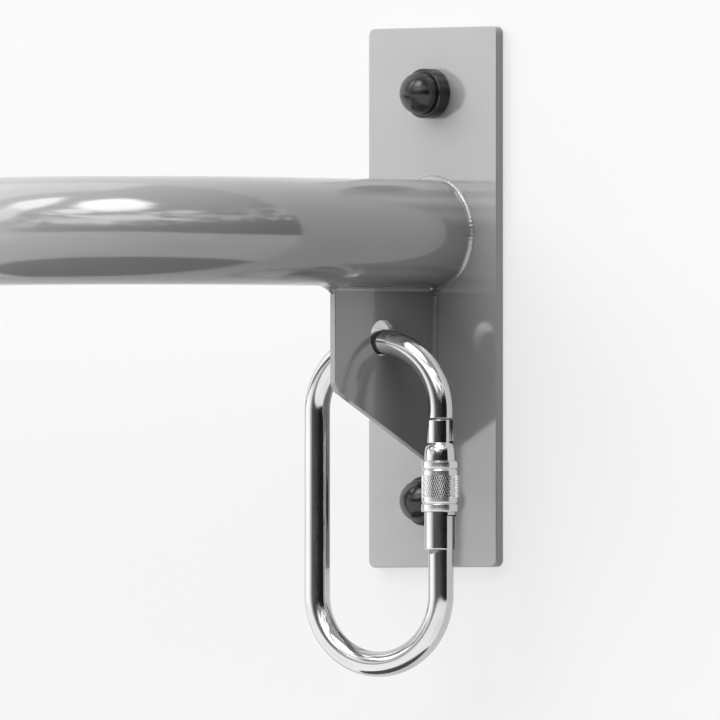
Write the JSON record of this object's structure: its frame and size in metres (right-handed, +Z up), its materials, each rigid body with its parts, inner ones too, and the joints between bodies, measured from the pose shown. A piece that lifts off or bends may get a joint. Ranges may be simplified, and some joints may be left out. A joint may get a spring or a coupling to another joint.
{
  "type": "wall mounted pull-up bar",
  "caption": "Wall-mounted pull-up bar: a bent steel tube welded to two bolted wall plates, with a gusset under each end and a screw-gate carabiner hanging in each gusset.",
  "frame": {"origin": "on the wall plane, midway between the two wall plates, at the height of the tube's axis", "axes": "+X along the bar to its right end, +Y into the wall, +Z up; the bar stands out from the wall towards -Y"},
  "size_m": [1.07, 0.2432, 0.2551],
  "materials": {
    "coated_steel": "grey semi-gloss coat over steel",
    "weld": "coated weld bead",
    "polished_steel": "polished steel",
    "zinc_steel": "zinc plated",
    "spring_steel": "drawn spring wire",
    "black_plastic": "moulded black plastic"
  },
  "bodies": {
    "frame": {"bar_tube": "coated_steel", "wall_plate_right": "coated_steel", "gusset_right": "coated_steel", "tube_weld_right": "weld", "gusset_plate_weld_right": "weld", "gusset_tube_weld_right": "weld", "anchor_stud_right_upper": "zinc_steel", "expansion_clip_right_upper": "zinc_steel", "washer_right_upper": "zinc_steel", "hex_nut_right_upper": "zinc_steel", "nut_cap_right_upper": "black_plastic", "anchor_stud_right_lower": "zinc_steel", "expansion_clip_right_lower": "zinc_steel", "washer_right_lower": "zinc_steel", "hex_nut_right_lower": "zinc_steel", "nut_cap_right_lower": "black_plastic", "wall_plate_left": "coated_steel", "gusset_left": "coated_steel", "tube_weld_left": "weld", "gusset_plate_weld_left": "weld", "gusset_tube_weld_left": "weld", "anchor_stud_left_upper": "zinc_steel", "expansion_clip_left_upper": "zinc_steel", "washer_left_upper": "zinc_steel", "hex_nut_left_upper": "zinc_steel", "nut_cap_left_upper": "black_plastic", "anchor_stud_left_lower": "zinc_steel", "expansion_clip_left_lower": "zinc_steel", "washer_left_lower": "zinc_steel", "hex_nut_left_lower": "zinc_steel", "nut_cap_left_lower": "black_plastic"},
    "carabiner_right": {"carabiner_body_right": "polished_steel"},
    "gate_right": {"carabiner_gate_right": "polished_steel", "gate_hinge_pin_right": "polished_steel", "gate_latch_pin_right": "polished_steel", "gate_spring_right": "spring_steel"},
    "sleeve_right": {"screw_sleeve_right": "polished_steel"},
    "plunger_right": {"gate_plunger_right": "polished_steel"},
    "carabiner_left": {"carabiner_body_left": "polished_steel"},
    "gate_left": {"carabiner_gate_left": "polished_steel", "gate_hinge_pin_left": "polished_steel", "gate_latch_pin_left": "polished_steel", "gate_spring_left": "spring_steel"},
    "sleeve_left": {"screw_sleeve_left": "polished_steel"},
    "plunger_left": {"gate_plunger_left": "polished_steel"}
  },
  "joints": [
    {"name": "carabiner_swing_right", "type": "hinge", "parent": "frame", "child": "carabiner_right", "pos_m": [0.5, -0.0332, -0.0427], "axis": [-0.9593, -0.2823, 0], "range_deg": [-10, 98]},
    {"name": "gate_open_right", "type": "hinge", "parent": "carabiner_right", "child": "gate_right", "pos_m": [0.52542, -0.02572, -0.118], "axis": [0.2823, -0.9593, 0], "range_deg": [0, 28], "stiffness_Nm_per_rad": 0.05, "springref_deg": -5.73},
    {"name": "sleeve_travel_right", "type": "slide", "parent": "gate_right", "child": "sleeve_right", "axis": [0, 0, 1], "range_m": [0, 0.016]},
    {"name": "plunger_lift_right", "type": "slide", "parent": "gate_right", "child": "plunger_right", "axis": [0, 0, 1], "range_m": [0, 0.00065], "deforming": ["gate_spring_right"]},
    {"name": "carabiner_swing_left", "type": "hinge", "parent": "frame", "child": "carabiner_left", "pos_m": [-0.5, -0.0332, -0.0427], "axis": [-0.9593, 0.2823, 0], "range_deg": [-10, 98]},
    {"name": "gate_open_left", "type": "hinge", "parent": "carabiner_left", "child": "gate_left", "pos_m": [-0.52542, -0.02572, -0.118], "axis": [0.2823, 0.9593, 0], "range_deg": [0, 28], "stiffness_Nm_per_rad": 0.05, "springref_deg": -5.73},
    {"name": "sleeve_travel_left", "type": "slide", "parent": "gate_left", "child": "sleeve_left", "axis": [0, 0, 1], "range_m": [0, 0.016]},
    {"name": "plunger_lift_left", "type": "slide", "parent": "gate_left", "child": "plunger_left", "axis": [0, 0, 1], "range_m": [0, 0.00065], "deforming": ["gate_spring_left"]}
  ],
  "couplings": [
    {"joint": "plunger_lift_right", "follows": "gate_open_right", "m_per_rad": 0.00125},
    {"joint": "plunger_lift_left", "follows": "gate_open_left", "m_per_rad": 0.00125}
  ]
}
